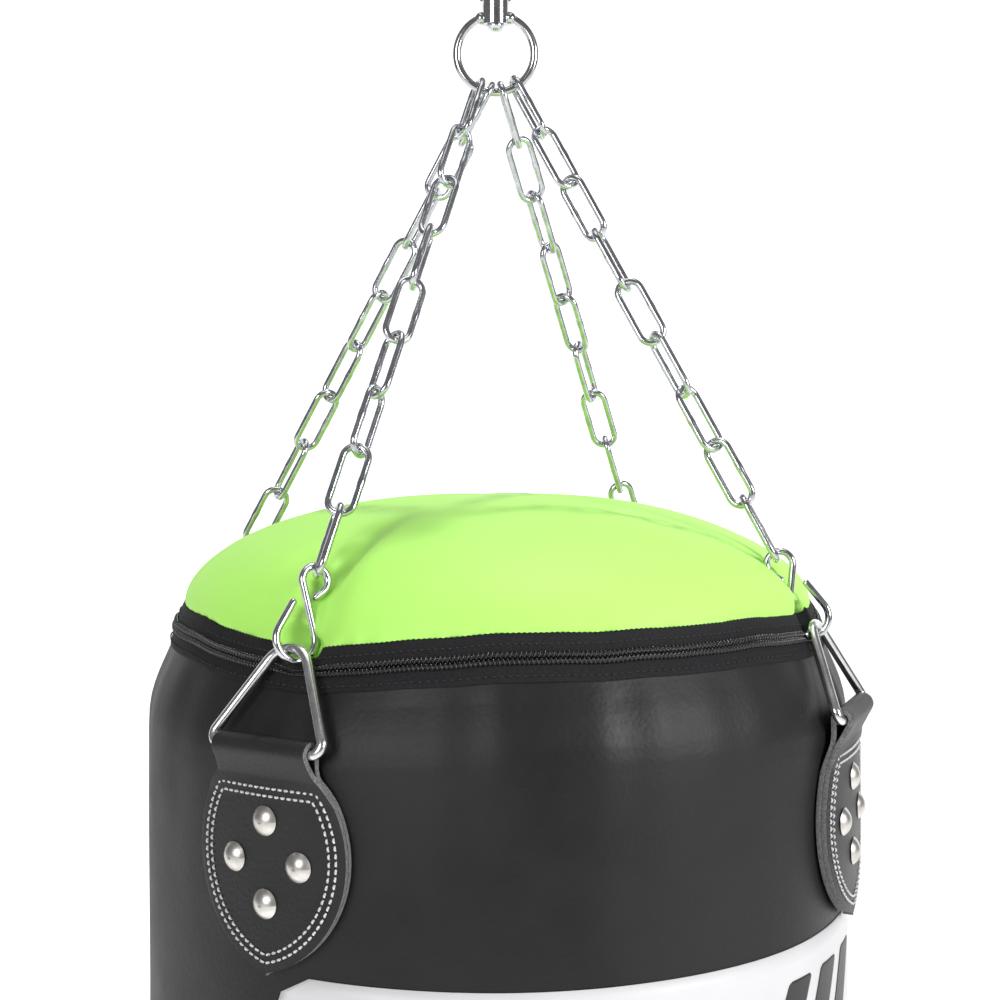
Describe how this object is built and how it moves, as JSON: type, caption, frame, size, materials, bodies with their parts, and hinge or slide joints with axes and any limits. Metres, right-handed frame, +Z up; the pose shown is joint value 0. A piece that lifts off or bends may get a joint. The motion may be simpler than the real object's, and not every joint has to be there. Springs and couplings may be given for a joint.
{
  "type": "hanging punching bag",
  "caption": "Cylindrical heavy punching bag with a zipped domed top, hung by riveted leather tabs, D-rings, S-hooks and chains from a ring on a swivel eye.",
  "frame": {"origin": "centre of the top eye's bore, from which the bag hangs", "axes": "+Z up along the bag, +Y along the bore of the eye and away from the front, +X to the right seen from the front"},
  "size_m": [0.3432, 0.33, 1.5445],
  "materials": {
    "zinc_steel": "zinc plated, satin",
    "nickel_steel": "nickel plated, satin",
    "rivet_nickel": "nickel plated, polished",
    "washer_steel": "dark oiled",
    "tab_leather": "fine grain, semi-matt, pale cut edges",
    "bag_vinyl": "fine grain synthetic leather, semi-matt",
    "green_vinyl": "lime green synthetic leather, semi-matt",
    "textile_filling": "pressed textile waste",
    "zip_tape": "black woven tape",
    "zip_coil": "black nylon coil",
    "zip_metal": "black enamel"
  },
  "bodies": {
    "swivel": {"swivel_eye": "zinc_steel", "swivel_pin": "zinc_steel", "thrust_washer": "washer_steel"},
    "ring": {"hanging_ring": "zinc_steel"},
    "bag": {"bag_shell": "bag_vinyl", "filling": "textile_filling", "top_cover": "green_vinyl", "zip_tape": "zip_tape", "zip_coil": "zip_coil", "rivets": "rivet_nickel", "tab_fl": "tab_leather", "tab_fr": "tab_leather", "tab_br": "tab_leather", "tab_bl": "tab_leather"},
    "chain_fl": {"fl_link_1": "zinc_steel", "fl_link_2": "zinc_steel", "fl_link_3": "zinc_steel", "fl_link_4": "zinc_steel", "fl_link_5": "zinc_steel", "fl_link_6": "zinc_steel", "fl_link_7": "zinc_steel", "fl_link_8": "zinc_steel", "fl_link_9": "zinc_steel"},
    "s_hook_fl": {"s_hook_fl": "zinc_steel"},
    "d_ring_fl": {"d_ring_fl": "nickel_steel"},
    "chain_fr": {"fr_link_1": "zinc_steel", "fr_link_2": "zinc_steel", "fr_link_3": "zinc_steel", "fr_link_4": "zinc_steel", "fr_link_5": "zinc_steel", "fr_link_6": "zinc_steel", "fr_link_7": "zinc_steel", "fr_link_8": "zinc_steel", "fr_link_9": "zinc_steel"},
    "s_hook_fr": {"s_hook_fr": "zinc_steel"},
    "d_ring_fr": {"d_ring_fr": "nickel_steel"},
    "chain_br": {"br_link_1": "zinc_steel", "br_link_2": "zinc_steel", "br_link_3": "zinc_steel", "br_link_4": "zinc_steel", "br_link_5": "zinc_steel", "br_link_6": "zinc_steel", "br_link_7": "zinc_steel", "br_link_8": "zinc_steel", "br_link_9": "zinc_steel"},
    "s_hook_br": {"s_hook_br": "zinc_steel"},
    "d_ring_br": {"d_ring_br": "nickel_steel"},
    "chain_bl": {"bl_link_1": "zinc_steel", "bl_link_2": "zinc_steel", "bl_link_3": "zinc_steel", "bl_link_4": "zinc_steel", "bl_link_5": "zinc_steel", "bl_link_6": "zinc_steel", "bl_link_7": "zinc_steel", "bl_link_8": "zinc_steel", "bl_link_9": "zinc_steel"},
    "s_hook_bl": {"s_hook_bl": "zinc_steel"},
    "d_ring_bl": {"d_ring_bl": "nickel_steel"},
    "zip_slider": {"zip_slider": "zip_metal"},
    "zip_pull": {"zip_pull": "zip_metal"}
  },
  "joints": [
    {"name": "swivel_spin", "type": "hinge", "parent": "swivel", "child": "ring", "pos_m": [0, 0, -0.05245], "axis": [0, 0, 1], "continuous": true},
    {"name": "bag_swing", "type": "hinge", "parent": "ring", "child": "bag", "pos_m": [0, 0, -0.0697], "axis": [1, 0, 0], "range_deg": [-16, 16]},
    {"name": "chain_swing_fl", "type": "hinge", "parent": "ring", "child": "chain_fl", "pos_m": [-0.00873, 0, -0.06887], "axis": [1, 0, 0], "range_deg": [-16, 16]},
    {"name": "s_hook_turn_fl", "type": "hinge", "parent": "chain_fl", "child": "s_hook_fl", "pos_m": [-0.0722, -0.11375, -0.28982], "axis": [0.2475, 0.4435, 0.8614], "range_deg": [-3, 10]},
    {"name": "d_ring_tip_fl", "type": "hinge", "parent": "bag", "child": "d_ring_fl", "pos_m": [-0.09017, -0.1443, -0.35745], "axis": [0.848, -0.5299, 0], "range_deg": [0, 0.8]},
    {"name": "chain_swing_fr", "type": "hinge", "parent": "ring", "child": "chain_fr", "pos_m": [0.00986, 0, -0.06822], "axis": [1, 0, 0], "range_deg": [-16, 16]},
    {"name": "s_hook_turn_fr", "type": "hinge", "parent": "chain_fr", "child": "s_hook_fr", "pos_m": [0.12603, -0.04915, -0.28968], "axis": [-0.4558, 0.1928, 0.8689], "range_deg": [-8, 8]},
    {"name": "d_ring_tip_fr", "type": "hinge", "parent": "bag", "child": "d_ring_fr", "pos_m": [0.15831, -0.06236, -0.35745], "axis": [0.3665, 0.9304, 0], "range_deg": [0, 0.8]},
    {"name": "chain_swing_br", "type": "hinge", "parent": "ring", "child": "chain_br", "pos_m": [0.00323, 0, -0.07077], "axis": [1, 0, 0], "range_deg": [-16, 16]},
    {"name": "s_hook_turn_br", "type": "hinge", "parent": "chain_br", "child": "s_hook_br", "pos_m": [0.07149, 0.11375, -0.29005], "axis": [-0.2663, -0.4438, 0.8556], "range_deg": [-10, 3]},
    {"name": "d_ring_tip_br", "type": "hinge", "parent": "bag", "child": "d_ring_br", "pos_m": [0.09017, 0.1443, -0.35745], "axis": [-0.848, 0.5299, 0], "range_deg": [0, 0.8]},
    {"name": "chain_swing_bl", "type": "hinge", "parent": "ring", "child": "chain_bl", "pos_m": [-0.00355, 0, -0.07071], "axis": [1, 0, 0], "range_deg": [-16, 16]},
    {"name": "s_hook_turn_bl", "type": "hinge", "parent": "chain_bl", "child": "s_hook_bl", "pos_m": [-0.12524, 0.04915, -0.29002], "axis": [0.4761, -0.1923, 0.8581], "range_deg": [-3, 10]},
    {"name": "d_ring_tip_bl", "type": "hinge", "parent": "bag", "child": "d_ring_bl", "pos_m": [-0.15831, 0.06236, -0.35745], "axis": [-0.3665, -0.9304, 0], "range_deg": [0, 0.8]},
    {"name": "zip_run", "type": "hinge", "parent": "bag", "child": "zip_slider", "pos_m": [0, 0, -0.32214], "axis": [0, 0, 1], "range_deg": [-34, 30]},
    {"name": "zip_pull_lift", "type": "hinge", "parent": "zip_slider", "child": "zip_pull", "pos_m": [-0.05337, 0.14663, -0.32214], "axis": [0.9397, 0.342, 0], "range_deg": [-3, 105]}
  ],
  "couplings": [
    {"joint": "chain_swing_fl", "follows": "bag_swing", "ratio": 1},
    {"joint": "chain_swing_fr", "follows": "bag_swing", "ratio": 1},
    {"joint": "chain_swing_br", "follows": "bag_swing", "ratio": 1},
    {"joint": "chain_swing_bl", "follows": "bag_swing", "ratio": 1}
  ]
}
